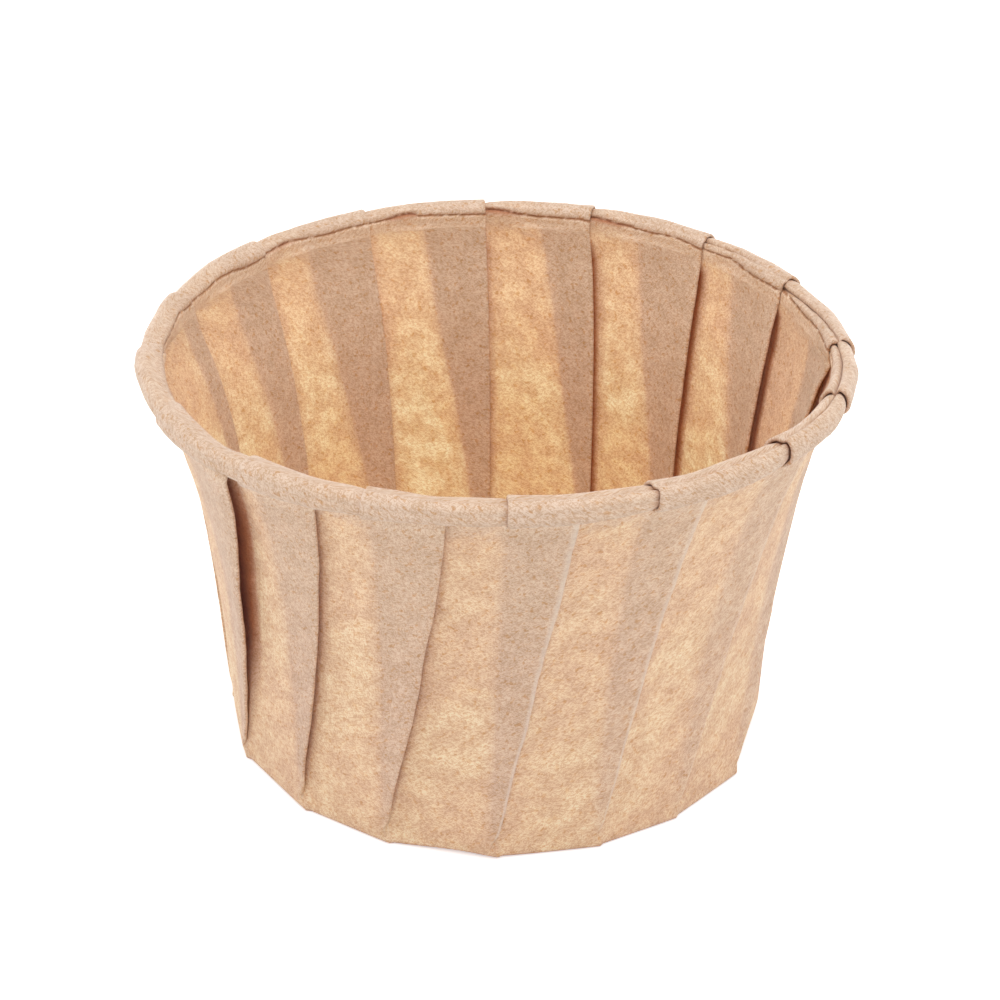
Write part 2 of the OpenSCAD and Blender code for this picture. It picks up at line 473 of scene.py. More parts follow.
# Humps on it: where and how wide in degrees, and how high in mm
RIM_HUMPS = ((57.0, 17.0, 0.36), (13.0, 11.0, -0.26))
# Part of the base's edge that has come off the table: where, how wide and how high
LIFT_AT, LIFT_WIDE, LIFT_HIGH, LIFT_IN = 263.0, 9.0, 0.32, (21.0, 28.5)
# Share of a panel's turn, from its middle, as far as which it bends
PANEL_BENDS = 0.6
# Radii in mm between which the flat floor takes on the shape of the corners
FLOOR_IN = (8.0, 26.0)


@dataclass
class Liner:
    """The liner itself: blank, pressing, thickness and finish.

    In its methods, turn is an angle in degrees and k is a pleat's number, which may run past the
    last one. A share across the overlap is 0 at the inner fold and 1 at the outer fold.

    Attributes:
        gather: Height over which the flat sheet gathers into full folds, in mm.
        spread: Width of the strip of the flat sheet that becomes a pleat's folds, in mm.
        rim_flatness: Share of flatness that the panels keep at the rim, 1 at the base.
        under_steps: Columns across the inner and the outer layer of a pleat.
        back_steps: Columns across its middle layer.
        panel_at: Columns across the panel between two pleats, as shares of it.
        spots: All the columns of one pleat.
    """

    section: CupSection
    pleats: tuple[Pleat, ...]
    gather: float = 3.2
    spread: float = 1.3
    rim_flatness: float = 0.22
    nose_steps: int = 3
    under_steps: int = 6
    back_steps: int = 4
    panel_at: tuple[float, ...] = (0.035, 0.12, 0.28, 0.46, 0.64, 0.82, 0.95)
    spots: list[Spot] = field(default_factory=list)

    def __post_init__(self) -> None:
        """Lay out the columns of one pleat, in the order of the sheet."""
        noses = [(n + 1)/(self.nose_steps + 1) for n in range(self.nose_steps)]
        across = [n/self.under_steps for n in range(self.under_steps + 1)]
        back = [n/self.back_steps for n in range(self.back_steps + 1)]
        parts = (
            ("under", across), ("inner nose", noses), ("back", back), ("outer nose", noses),
            ("over", across), ("panel", self.panel_at),
        )
        self.spots = [Spot(part, share) for part, shares in parts for share in shares]
        self.rings = self.section.rings()
        self.neck_run = next(ring.run for ring in self.rings if ring.curl)
        self.columns = len(self.spots)*len(self.pleats)

    def cut_blank(self) -> bpy.types.Object:
        """Cut the round blank: a circle, extruded outward ring by ring."""
        bpy.ops.object.select_all(action="DESELECT")
        bpy.ops.mesh.primitive_circle_add(
            vertices=self.columns, radius=self.rings[0].run*MM, fill_type="NGON",
            location=(0, 0, 0),
        )
        blank = bpy.context.active_object
        blank.name = "pleated_liner"
        blank.data.name = "pleated_liner"
        bpy.ops.object.mode_set(mode="EDIT")
        bpy.ops.mesh.select_mode(type="EDGE")
        bpy.ops.mesh.select_all(action="SELECT")
        for inner, outer in zip(self.rings, self.rings[1:]):
            bpy.ops.mesh.extrude_edges_move()
            size = outer.run/inner.run
            bpy.ops.transform.resize(value=(size, size, 1.0))
        bpy.ops.object.mode_set(mode="OBJECT")
        return blank

    def overlap(self, ring: Ring, pleat: Pleat) -> float:
        """Length of round that a pleat's folds take up on a ring, in mm."""
        even = math.pi*(ring.run - ring.radius)/len(self.pleats)
        wander = sum(
            size*noise.noise(Vector((pleat.foot, ring.run*waves, seed)))
            for size, waves, seed in FOLD_WANDER
        )
        wander *= ease(*WANDER_IN, ring.height)
        reach = pleat.reach + pleat.low_reach*(1.0 - ease(*LOW_REACH_OUT, ring.height))
        return max(0.0, even*reach + wander)

    def climb(self, ring: Ring) -> float:
        """Share of the wall's height that a ring has reached, 1 on the bead."""
        return min(1.0, ring.height/self.section.neck_z)

    def folds(self, ring: Ring, k: int) -> tuple[float, float, float]:
        """Angles of a pleat's inner and outer fold on a ring, and its overlap in mm."""
        turns, n = divmod(k, len(self.pleats))
        pleat = self.pleats[n]
        lean = (pleat.seam - pleat.foot)*self.climb(ring)**pleat.late
        inner = pleat.foot + lean - 360.0*turns
        wide = self.overlap(ring, pleat)
        return inner, inner + math.degrees(wide/ring.radius), wide

    def stand_off(self, ring: Ring, pleat: Pleat, share: float) -> float:
        """How far a pleat's outer fold and the layers beside it stand off the wall, in mm."""
        if ring.zone is Zone.FLOOR:
            return 0.0
        climb = self.climb(ring)
        up = ease(STAND_FROM, pleat.stand_full, ring.height)
        up *= 1.0 - STAND_LOST*ease(*STAND_OUT, climb)
        up *= 1.0 - TUCK_LOST*ease(*TUCK_IN, climb)
        if ring.zone is Zone.BEAD:
            up *= ease(self.section.neck - FLAP_PAST_NECK, self.section.neck, ring.curl)
        return pleat.stand*up*share**FLAP_CURVE

    def open_in(self, ring: Ring, pleat: Pleat, share: float) -> float:
        """How far a pleat's inner fold and the layers beside it stand into the cup, in mm."""
        if ring.zone in (Zone.FLOOR, Zone.BEAD):
            return 0.0
        up = ease(*OPEN_IN, ring.height)*(1.0 - ease(*OPEN_OUT, self.climb(ring)))
        return pleat.open_in*up*(1.0 - share)**OPEN_CURVE

    def gape(self, ring: Ring, pleat: Pleat) -> float:
        """How far a pleat's inner fold parts from the layer below it on the bead, in mm."""
        if ring.zone is not Zone.BEAD:
            return 0.0
        return pleat.gape*ease(*GAPE_IN, ring.curl)*(1.0 - ease(*GAPE_OUT, ring.curl))

    def ledge(self, ring: Ring, turn: float) -> float:
        """Depth in mm of the flat bands that the rolling iron left on the bead's outer side."""
        if ring.zone is not Zone.BEAD:
            return 0.0
        front = 1.0 - ease(*FRONT_OUT, abs(turn_apart(turn, FRONT_AT)))
        low, edge, top = LEDGE
        if low < ring.curl < edge:
            deep = LEDGE_DEEP + LEDGE_FRONT*front
            return -deep*math.sin(math.pi*(ring.curl - low)/(edge - low))
        if edge <= ring.curl < top:
            return -LEDGE_TOP*front*math.sin(math.pi*(ring.curl - edge)/(top - edge))
        return 0.0

    def on_bead(self, ring: Ring) -> float:
        """Share of the way from the wall's even layers to the bead's tapered ones."""
        if ring.zone is not Zone.BEAD:
            return 0.0
        return 1.0 - ease(self.section.neck - TAPER_PAST_NECK, self.section.neck, ring.curl)

    def between_seams(self, ring: Ring, k: int, turn: float) -> float:
        """Share of the way from a pleat's seam to the seam before it."""
        inner, _outer, _wide = self.folds(ring, k)
        before, _outer, _wide = self.folds(ring, k - 1)
        return (turn - inner)/(before - inner)

    def bead_skin(self, ring: Ring, k: int, turn: float) -> float:
        """Depth in mm of the bead's visible layer, which tapers from each seam to the next."""
        share = min(SKIN_TO, max(SKIN_FROM, self.between_seams(ring, k, turn)))
        return self.section.bead_step*(2.0*share - 1.0)

    def groove(self, ring: Ring, k: int, turn: float) -> tuple[float, float]:
        """Depth in mm of the groove that parts the bead into two rolls, and its painted shade."""
        pleat = self.pleats[k % len(self.pleats)]
        if ring.zone is not Zone.BEAD or not pleat.groove:
            return 0.0, 0.0
        share = min(1.0, max(0.0, self.between_seams(ring, k, turn)))
        first, last = pleat.groove_at
        uneven = noise.noise(Vector((turn*GROOVE_WAVES, pleat.seam, 2.0)))
        off = ring.curl - (last + (first - last)*share + GROOVE_WANDER*uneven)
        deep = pleat.groove*(GROOVE_START + GROOVE_GAIN*share + GROOVE_UNEVEN*uneven)
        return deep*hump(off, GROOVE_WIDE), ease(*GROOVE_DARK, deep)*hump(off, GROOVE_SHADE)

    def from_crease(self, ring: Ring, turn: float, arch: float) -> float:
        """Distance in mm along the sheet from the crease under the bead, negative below it."""
        wander = sum(
            size*noise.noise(round_place(turn, waves, seed)) for size, waves, seed in CREASE_WANDER
        )
        rise = CREASE_RISE*(1.0 - ease(*CREASE_BACK, abs(turn_apart(turn, BACK_AT))))
        return ring.run - self.neck_run + wander - arch - rise

    def crease(self, ring: Ring, away: float, arch: float) -> float:
        """Depth in mm of the crease under the bead, at a distance away from it."""
        if ring.zone in (Zone.FLOOR, Zone.BEND):
            return 0.0
        wide = (CREASE_WIDE + ARCH_WIDER*arch) if away < 0 else CREASE_WIDE
        return (CREASE_DEEP + ARCH_DEEPER*arch)*hump(away, wide)

    def lay(self, ring: Ring, k: int, spot: Spot) -> Lay:
        """Lay a column across its pleat, before the bead, the crease and the foot change it."""
        pleat = self.pleats[k]
        share = spot.share
        inner, _outer, wide = self.folds(ring, k)
        _next_inner, next_outer, _next_wide = self.folds(ring, k + 1)
        round_mm = math.radians(inner - next_outer)*ring.radius
        bead = self.on_bead(ring)
        layer = self.section.layer*(1.0 - BEAD_THINNER*bead)
        nose = layer/2
        gape = self.gape(ring, pleat)
        arch_high, arch_at, arch_wide = pleat.arch
        # Painted shade of an open slit and of a flap standing off the wall
        slit = ease(0.0, SLIT_FULL, self.open_in(ring, pleat, 0.0) + gape)
        flap = ease(*FLAP_SHADE, self.stand_off(ring, pleat, 1.0))
        if spot.part == "under":
            along = -wide*(1 - share)
            depth = -layer - self.open_in(ring, pleat, 1 - share)
            depth -= GAPE_BELOW*gape*max(0.0, 1.0 + along/GAPE_LONG)**2
            return Lay(along, depth, outside=flap*(1.0 - ease(*FLAP_UNDER, share)))
        if spot.part == "inner nose":
            a = math.pi*share
            depth = -nose - nose*math.cos(a) - self.open_in(ring, pleat, 0.0)
            depth -= GAPE_BELOW*gape*(1 - share)
            along = nose*NOSE_WIDE*math.sin(a)
            return Lay(along, depth, later=FOLDED_SHARE*share, painted_shade=slit*share*NOSE_DARK)
        if spot.part == "back":
            depth = self.stand_off(ring, pleat, share) - self.open_in(ring, pleat, share)
            return Lay(-wide*share, depth, later=FOLDED_SHARE, painted_shade=max(slit, flap))
        if spot.part == "outer nose":
            a = math.pi*share
            along = -wide - nose*NOSE_WIDE*math.sin(a)
            depth = nose - nose*math.cos(a) + self.stand_off(ring, pleat, 1.0)
            shade = flap*(1.0 - share)**2
            return Lay(along, depth, later=FOLDED_SHARE, rub_and_highlight=pleat.rub_and_highlight, painted_shade=shade)
        if spot.part == "over":
            depth = layer + self.stand_off(ring, pleat, 1 - share)
            depth += GAPE_ABOVE*gape*share**3*bead
            return Lay(
                -wide*(1 - share), depth, later=FOLDED_SHARE + (1.0 - FOLDED_SHARE)*share,
                rub_and_highlight=pleat.rub_and_highlight if share == 0.0 else 0.0,
                arch=arch_high*share*hump(arch_at, arch_wide),
                painted_shade=slit*ease(*SLIT_OVER, share),
            )
        along = round_mm*share
        left = round_mm - along
        next_pleat = self.pleats[(k + 1) % len(self.pleats)]
        next_flap = ease(*FLAP_SHADE, self.stand_off(ring, next_pleat, 1.0))
        return Lay(
            along, layer*(1 - 2*ease(*pleat.settle, share)), later=1.0,
            painted_layer_shade=1.0 - ease(*SHADE_START, along)*ease(*SHADE_STOP, left),
            arch=arch_high*hump(along - arch_at, arch_wide),
            painted_shade=slit*hump(along, SLIT_WIDE - SLIT_NARROWER*bead),
            outside=next_flap*hump(left, FLAP_WIDE),
        )

    def place(self, ring: Ring, k: int, spot: Spot) -> tuple[float, float, Finish]:
        """Turn, distance out from the middle layer and finish of a column on a ring."""
        pleat = self.pleats[k]
        lay = self.lay(ring, k, spot)
        inner, _outer, wide = self.folds(ring, k)
        turn = inner - math.degrees(lay.along/ring.radius)
        depth = self.on_skin(ring, k, spot, lay, turn)
        deep, shade = self.groove(ring, k, turn)
        next_deep, next_shade = self.groove(ring, k + 1, turn)
        depth += deep*(1 - lay.later) + next_deep*lay.later
        away = self.from_crease(ring, turn, lay.arch)
        depth += self.crease(ring, away, lay.arch)
        # Painted shade in grooves, under the crease's arch, and along the base's bend by the table
        painted_shade = max(lay.painted_shade, shade*(1 - lay.later) + next_shade*lay.later)
        if ring.zone in (Zone.WALL, Zone.BEAD):
            wedge = hump(away + SHADE_BELOW*lay.arch, SHADE_WIDE + SHADE_WIDER*lay.arch)
            painted_shade = max(painted_shade, min(1.0, SHADE_DARK*lay.arch)*wedge)
        elif ring.zone is Zone.BEND:
            painted_shade = max(painted_shade, 1.0 - ease(*FOOT_LINE, ring.height))
        # Painted shade on the light through the paper, less and more at places round the cup
        painted_layer_shade = lay.painted_layer_shade*(1.0 - PALE_SHARE*turn_hump(turn, *PALE_SIDE))
        painted_layer_shade = max(painted_layer_shade, DARK_SHARE*turn_hump(turn, *DARK_SIDE))

        gone = ring.height - self.section.paper/2 if ring.zone is not Zone.FLOOR else 0.0
        lift = ease(0.0, self.gather*RISEN_AT, gone)
        pull = ease(self.gather*PULL_FROM, self.gather, gone)
        along = self.flat_place(ring, k, spot)*(1 - pull) + lay.along*pull
        if ring.zone is Zone.BEAD:
            round_a = min(180.0, max(0.0, (ring.curl - BOW_FROM)*180.0/BOW_SPAN))
            bulge = math.sin(math.radians(round_a))
            past = ease(*BOW_PAST_GROOVE, ring.curl - pleat.groove_at[1])
            bulge -= BOW_LOST*past*min(1.0, pleat.groove*BOW_BY_GROOVE)
            along -= pleat.bow*bulge*max(0.0, 1.0 - abs(along)/BOW_LONG)
        turn = inner - math.degrees(along/ring.radius)
        painted_layer_shade *= min(1.0, wide/OVERLAP_SHADES)
        return turn, depth*lift, Finish(lay.rub_and_highlight*pull, -away, painted_layer_shade, painted_shade, lay.outside)

    def on_skin(self, ring: Ring, k: int, spot: Spot, lay: Lay, turn: float) -> float:
        """Depth of a column in mm, drawn to the bead's tapered skin on the bead."""
        bead = self.on_bead(ring)
        if bead == 0.0:
            return lay.depth
        layer = self.section.layer*(1.0 - BEAD_THINNER*bead)
        if spot.part == "panel":
            near = hump(lay.along, GAPE_PAST)
            target = self.bead_skin(ring, k + 1, turn)
            target += GAPE_ABOVE*self.gape(ring, self.pleats[k])*near
            target += near*(2*layer - 2*self.section.bead_step)
        else:
            target = self.bead_skin(ring, k, turn) + lay.depth + layer
        return lay.depth + (target - lay.depth)*bead

    def flat_place(self, ring: Ring, k: int, spot: Spot) -> float:
        """Place of a column past the inner fold where the sheet is still flat, in mm."""
        if spot.part != "panel":
            share = self.spots.index(spot)/(len(self.spots) - len(self.panel_at))
            return (share - 0.5)*self.spread
        inner, _outer, _wide = self.folds(ring, k)
        _next_inner, next_outer, next_wide = self.folds(ring, k + 1)
        round_mm = math.radians(inner - next_outer)*ring.radius
        return self.spread/2 + (round_mm + next_wide - self.spread)*spot.share

    def panel_radius(self, ring: Ring, k: int, turn: float) -> float:
        """Radius of the wall in mm: flat between the pleats at its foot, rounder near the rim."""
        inner, outer, _wide = self.folds(ring, k)
        next_inner, next_outer, _next_wide = self.folds(ring, k + 1)
        pull = ease(self.gather*PULL_FROM, self.gather, ring.height)
        here = self.pleats[k].corner
        after = self.pleats[(k + 1) % len(self.pleats)].corner
        start = inner + (outer - inner)*pull/max(1.0, self.pleats[k].reach)
        stop = next_inner + (next_outer - next_inner)*pull
        half = math.radians(start - stop)/2
        middle = (start + stop)/2
        most = PANEL_BENDS*(start - stop)
        off = math.radians(max(-most, min(most, turn - middle)))
        flatness = 1.0 + (self.rim_flatness - 1.0)*self.climb(ring)
        if ring.zone is Zone.FLOOR:
            flatness = ease(*FLOOR_IN, ring.radius)
            here, after = here*flatness, after*flatness
        across = min(1.0, max(0.0, (start - turn)/(start - stop)))
        corner = (here + (after - here)*across)*(1.0 - ease(*CORNER_OUT, self.climb(ring)))
        return ring.radius*(1.0 + flatness*(math.cos(half)/math.cos(off) - 1.0)) + corner

    def warp(self, ring: Ring, turn: float) -> tuple[float, float]:
        """What the rim has sprung out of round and out of level, in mm."""
        a = math.radians(turn)
        wide, high = (
            sum(even*math.cos(waves*a) + odd*math.sin(waves*a) for waves, even, odd in parts)
            for parts in (RIM_WIDER, RIM_HIGHER)
        )
        high += sum(tall*turn_hump(turn, at, width) for at, width, tall in RIM_HUMPS)
        up = self.climb(ring)**2
        return wide*up, high*up

    def straight(self, ring: Ring, turn: float) -> tuple[float, float, float]:
        """What the straight upper wall at the back adds to the radius, and its outer normal."""
        section = self.section
        share = 1.0 - ease(*BACK_OUT, abs(turn_apart(turn, BACK_AT)))
        on_top = ring.zone is Zone.BEAD and ring.curl < 180.0
        if share == 0.0 or on_top or ring.height < section.straight_from:
            return 0.0, ring.out_r, ring.out_z
        foot = (section.straight_from - section.foot_z)/(section.neck_z - section.foot_z)
        low_r = section.wall(foot)[0]
        top_r = section.bead_r - section.half_w
        t = (ring.height - section.straight_from)/(section.bead_z - section.straight_from)
        straight_r = low_r + (top_r - low_r)*(2.0*t - t*t)
        turned = ease(0.0, BACK_UPRIGHT, t)
        out_r = ring.out_r + (1.0 - ring.out_r)*share*turned
        out_z = ring.out_z*(1.0 - share*turned)
        size = math.hypot(out_r, out_z)
        return share*(straight_r - ring.radius), out_r/size, out_z/size

    def lifted(self, ring: Ring, turn: float) -> float:
        """How far the edge of the base has come off the table at the front, in mm."""
        near = LIFT_HIGH*turn_hump(turn, LIFT_AT, LIFT_WIDE)
        return near*ease(*LIFT_IN, ring.radius)*(1.0 - ease(*LIFT_OUT, ring.height))

    def press(self, blank: bpy.types.Object) -> None:
        """Press the blank into shape, and keep each point's place on the flat sheet."""
        mesh = blank.data
        mesh.attributes.new("sheet", "FLOAT_VECTOR", "POINT")
        names = [item.name for item in fields(Finish)]
        for name in names:
            mesh.attributes.new(name, "FLOAT", "POINT")
        sheet = mesh.attributes["sheet"]
        kept = {name: mesh.attributes[name] for name in names}
        grid = self.find_points(mesh)
        for n, ring in enumerate(self.rings):
            places: list[Vector] = []
            finishes: list[Finish] = []
            for column in range(self.columns):
                k, s = divmod(column, len(self.spots))
                turn, out, finish = self.place(ring, k, self.spots[s])
                radius = self.panel_radius(ring, k, turn)
                places.append(self.point(ring, turn, radius, out))
                finishes.append(finish)
            lengths = [0.0]
            for a, b in zip(places, places[1:] + places[:1]):
                lengths.append(lengths[-1] + (a - b).length)
            run = ring.run*MM
            for column, (place, finish) in enumerate(zip(places, finishes)):
                index = grid[(n, column)]
                mesh.vertices[index].co = place*MM
                a = -2*math.pi*lengths[column]/lengths[-1]
                sheet.data[index].vector = (run*math.cos(a), run*math.sin(a), 0.0)
                for name in names:
                    kept[name].data[index].value = getattr(finish, name)
        mesh.update()

    def find_points(self, mesh: bpy.types.Mesh) -> dict[tuple[int, int], int]:
        """Find the vertex of each ring and column on the flat blank."""
        step = 2*math.pi/self.columns
        ring_at = {round(ring.run, 3): n for n, ring in enumerate(self.rings)}
        grid: dict[tuple[int, int], int] = {}
        for vertex in mesh.vertices:
            run = vertex.co.xy.length/MM
            near = min(ring_at, key=lambda key: abs(key - run))
            column = round(math.atan2(-vertex.co.y, vertex.co.x)/step) % self.columns
            grid[(ring_at[near], column)] = vertex.index
        return grid

    def point(self, ring: Ring, turn: float, radius: float, out: float) -> Vector:
        """Point of the pressed sheet in mm, with the paper's own unevenness."""
        lifted = self.lifted(ring, turn)
        if ring.zone is Zone.FLOOR:
            return round_place(turn, radius, ring.height + lifted)
        wide, high = self.warp(ring, turn)
        foot = round_place(turn, BUCKLE_R, ring.height)
        uneven = sum(
            size*noise.noise(foot*waves + Vector((seed, 0, 0))) for size, waves, seed in BUCKLES
        )
        out += uneven*ease(*BUCKLE_IN, ring.height) + self.ledge(ring, turn)
        if ring.zone is Zone.BEAD:
            dent = noise.noise(round_place(turn, DENT_WAVES, ring.curl*DENT_CURL))
            out += DENT_SIZE*self.on_bead(ring)*dent
        shift, out_r, out_z = self.straight(ring, turn)
        r = radius + wide + shift + out*out_r
        return round_place(turn, r, ring.height + high + lifted + out*out_z)

    def thicken(self, piece: bpy.types.Object) -> None:
        """Give the sheet the thickness of the paper."""
        select_only(piece)
        skin = piece.modifiers.new("paper", "SOLIDIFY")
        skin.thickness = self.section.paper*MM
        skin.offset = 0.0
        skin.use_even_offset = False
        bpy.ops.object.modifier_apply(modifier=skin.name)
        bpy.ops.object.mode_set(mode="EDIT")
        bpy.ops.mesh.select_all(action="SELECT")
        bpy.ops.mesh.normals_make_consistent(inside=False)
        bpy.ops.object.mode_set(mode="OBJECT")
        bpy.ops.object.shade_smooth()

    def make(self) -> bpy.types.Object:
        """Cut, press and thicken the liner."""
        piece = self.cut_blank()
        self.press(piece)
        self.thicken(piece)
        return piece


@dataclass(frozen=True)
class Tint:
    """Two colours that the value of a pattern runs between.

    Attributes:
        low: Value at and below which the first colour holds.
        high: Value at and above which the last colour holds.
        first: The first colour, as a factor for the paper's own.
        last: The last colour, as a factor for the paper's own.
    """

    low: float
    high: float
    first: Triple
    last: Triple


class Nodes:
    """Node tree that starts empty, with short ways to add to it.

    A value is a number, a colour, a vector or the output of another node.
    """

    def __init__(self, owner: bpy.types.Material | bpy.types.World) -> None:
        """Start from an empty tree."""
        owner.use_nodes = True
        self.tree = owner.node_tree
        self.tree.nodes.clear()

    def put(self, socket: bpy.types.NodeSocket, value: object) -> None:
        """Link an output to an input, or set the input's own value."""
        if isinstance(value, bpy.types.NodeSocket):
            self.tree.links.new(value, socket)
        elif socket.type == "RGBA":
            socket.default_value = (*value, 1.0)
        else:
            socket.default_value = value

    def add(self, kind: str, inputs: dict[str | int, object], **settings: object) -> bpy.types.Node:
        """Add a node."""
        node = self.tree.nodes.new("ShaderNode" + kind)
        for name, value in settings.items():
            setattr(node, name, value)
        for name, value in inputs.items():
            self.put(node.inputs[name], value)
        return node

    def attribute(self, name: str, output: str = "Fac") -> bpy.types.NodeSocket:
        """Read one of the mesh's attributes."""
        return self.add("Attribute", {}, attribute_name=name).outputs[output]

    def noise(
        self, place: bpy.types.NodeSocket, scale: float, detail: float, rough: float
    ) -> bpy.types.Node:
        """Add a noise texture."""
        inputs = {"Vector": place, "Scale": scale, "Detail": detail, "Roughness": rough}
        return self.add("TexNoise", inputs, noise_dimensions="2D")

    def cloudy(
        self, place: bpy.types.NodeSocket, size_mm: float, detail: float, rough: float
    ) -> bpy.types.NodeSocket:
        """Add a cloudy pattern of a size and return its value."""
        return self.noise(place, 1.0/(size_mm*MM), detail, rough).outputs["Fac"]

    def maths(self, kind: str, *values: object) -> bpy.types.NodeSocket:
        """Add a maths node and return its result."""
        return self.add("Math", dict(enumerate(values)), operation=kind).outputs["Value"]

    def vector(
        self, kind: str, *values: object, output: str = "Vector"
    ) -> bpy.types.NodeSocket:
        """Add a vector maths node and return its result."""
        return self.add("VectorMath", dict(enumerate(values)), operation=kind).outputs[output]

    def smooth(self, value: bpy.types.NodeSocket, low: float, high: float) -> bpy.types.NodeSocket:
        """Map a value to a smooth share from 0 at low to 1 at high."""
        inputs = {"Value": value, "From Min": low, "From Max": high}
        return self.add("MapRange", inputs, interpolation_type="SMOOTHSTEP").outputs["Result"]

    def mix(self, kind: str, first: object, second: object, share: object) -> bpy.types.NodeSocket:
        """Mix two colours."""
        node = self.add("Mix", {}, data_type="RGBA", blend_type=kind)
        for name, value in (("A", first), ("B", second), ("Factor", share)):
            self.put(next(s for s in node.inputs if s.name == name and s.enabled), value)
        return next(s for s in node.outputs if s.name == "Result" and s.enabled)

    def times(self, first: object, second: object, share: object = 1.0) -> bpy.types.NodeSocket:
        """Multiply a colour by another, or by a share of it."""
        return self.mix("MULTIPLY", first, second, share)

    def tint(self, value: bpy.types.NodeSocket, tint: Tint) -> bpy.types.NodeSocket:
        """Turn a pattern's value into a colour between two."""
        return self.mix("MIX", tint.first, tint.last, self.smooth(value, tint.low, tint.high))

    def finish(self, kind: str, share: object, first: object, second: object) -> None:
        """Mix two shaders into the tree's output."""
        mixed = self.add("MixShader", {0: share, 1: first, 2: second}).outputs["Shader"]
        self.add("Output" + kind, {"Surface": mixed})

    def seen(self) -> bpy.types.NodeSocket:
        """Share that is 1 for rays from the camera, mirrored or passed on by glass included."""
        path = self.add("LightPath", {}).outputs
        found = self.maths("MAXIMUM", path["Is Camera Ray"], path["Is Glossy Ray"])
        return self.maths("MAXIMUM", found, path["Is Transmission Ray"])


@dataclass(frozen=True)
class KraftPaper:
    """Unbleached kraft paper: matt, fibrous, and warm where light comes through one layer.

    Lengths end in _mm or _m, and a pair of them is where a change begins and ends. Fibres lie
    along directions in radians, and are moved by fibre_shift for each radian. A cloudy pattern
    gives its size in mm, its detail and its roughness. The other colours are factors for the
    paper's own, or for the light through it: lower down the wall, a touch darker, with the light
    through it brightened as painted light; painted shade where layers lie over each other, on the
    line of the crease, on the bead, and in a fold, slit or groove. The pale fold edges are partly
    rubbing and partly a painted highlight. The strip below the rim loses rim_band_share of the
    light through it.
    """

    colour: Triple = (0.87, 0.650, 0.465)
    through: Triple = (1.0, 0.87, 0.53)
    through_share: float = 0.27
    fibre_long_mm: float = 0.55
    fibre_wide_mm: float = 0.11
    fibre_bends: float = 1400.0
    fibre_bend_m: float = 0.00017
    fibre_shift: Triple = (0.37, 0.21, 0.05)
    pale_along: Triple = (0.2, 1.3, 2.35)
    dark_along: Pair = (0.8, 2.9)
    speck: Triple = (0.55, 1.0, 0.6)
    cloud: Triple = (2.4, 2.0, 0.66)
    drift: Triple = (14.0, 1.0, 0.5)
    grain: Tint = Tint(0.86, 1.22, (0.88, 0.79, 0.70), (1.08, 1.13, 1.19))
    specks: Tint = Tint(0.60, 0.74, (1.02, 1.02, 1.03), (0.88, 0.72, 0.55))
    clouds: Tint = Tint(0.30, 0.70, (0.965, 0.95, 0.93), (1.03, 1.04, 1.06))
    thin: Tint = Tint(0.32, 0.68, (0.89, 0.77, 0.60), (1.08, 1.15, 1.27))
    drifted: Tint = Tint(0.36, 0.60, (0.96, 0.86, 0.70), (1.03, 1.05, 1.08))
    rub_highlight: Triple = (0.98, 0.84, 0.70)
    rub_highlight_from: Pair = (0.30, 1.0)
    rub_highlight_most: float = 0.70
    low_mm: Pair = (8.0, 24.0)
    low_painted_light: Triple = (1.09, 1.26, 1.38)
    low_body: Triple = (0.965, 0.945, 0.965)
    rim_band_mm: float = 1.9
    rim_band_edge_mm: float = 0.6
    rim_band_share: float = 0.5
    ragged_mm: float = 2.4
    layer_shade_tint: Triple = (0.72, 0.54, 0.42)
    crease_mm: Pair = (0.26, 0.08)
    crease_breaks: Pair = (0.25, 0.5)
    crease_shade_tint: Triple = (0.58, 0.38, 0.26)
    rolled_mm: float = 0.3
    bead_shade_tint: Triple = (0.87, 0.86, 0.88)
    outer_side_m: float = 0.004
    painted_shade_body: Triple = (0.50, 0.24, 0.12)
    painted_shade_glow: Triple = (0.74, 0.38, 0.18)
    bump_m: float = 0.00005
    bump_share: float = 0.35
    roughness: float = 0.65
    gloss: float = 0.5
    fuzz: float = 0.22
    fuzz_rough: float = 0.5

    def build(self) -> bpy.types.Material:
        """Make the material."""
        material = bpy.data.materials.new("kraft_paper")
        nodes = Nodes(material)
        sheet = nodes.attribute("sheet", "Vector")
        below = nodes.attribute("below_rim")
        bends = nodes.noise(sheet, self.fibre_bends, 0.0, 0.5).outputs
        bent = nodes.vector("MULTIPLY_ADD", bends["Color"], (self.fibre_bend_m,)*3, sheet)
        pale = self.fibres(nodes, bent, "MAXIMUM", self.pale_along)
        dark = self.fibres(nodes, bent, "MINIMUM", self.dark_along)
        speck = nodes.cloudy(sheet, *self.speck)
        cloud = nodes.cloudy(sheet, *self.cloud)
        drift = nodes.cloudy(sheet, *self.drift)
        grain = nodes.tint(nodes.maths("ADD", pale, dark), self.grain)
        low = nodes.smooth(below, *self.low_mm)

        body = nodes.times(grain, nodes.tint(speck, self.specks))
        body = nodes.times(body, nodes.tint(cloud, self.clouds))
        body = nodes.times(body, self.colour)
        # Pale fold edges: partly rubbing of the fibres, partly a painted highlight where they face
        # the light
        rub_and_highlight = nodes.smooth(nodes.attribute("rub_and_highlight"), *self.rub_highlight_from)
        rub_and_highlight = nodes.maths("MULTIPLY", rub_and_highlight, self.rub_highlight_most)
        body = nodes.mix("MIX", body, self.rub_highlight, rub_and_highlight)
        body = nodes.times(body, self.low_body, low)
        # Painted shade along the crease under the bead
        line = nodes.smooth(nodes.maths("ABSOLUTE", below), *self.crease_mm)
        line = nodes.maths("MULTIPLY", line, nodes.smooth(bends["Fac"], *self.crease_breaks))
        body = nodes.times(body, self.crease_shade_tint, line)
        # The bead above the crease is darkened: painted shade against the light on its top
        body = nodes.times(body, self.bead_shade_tint, nodes.smooth(below, self.rolled_mm, -self.rolled_mm))

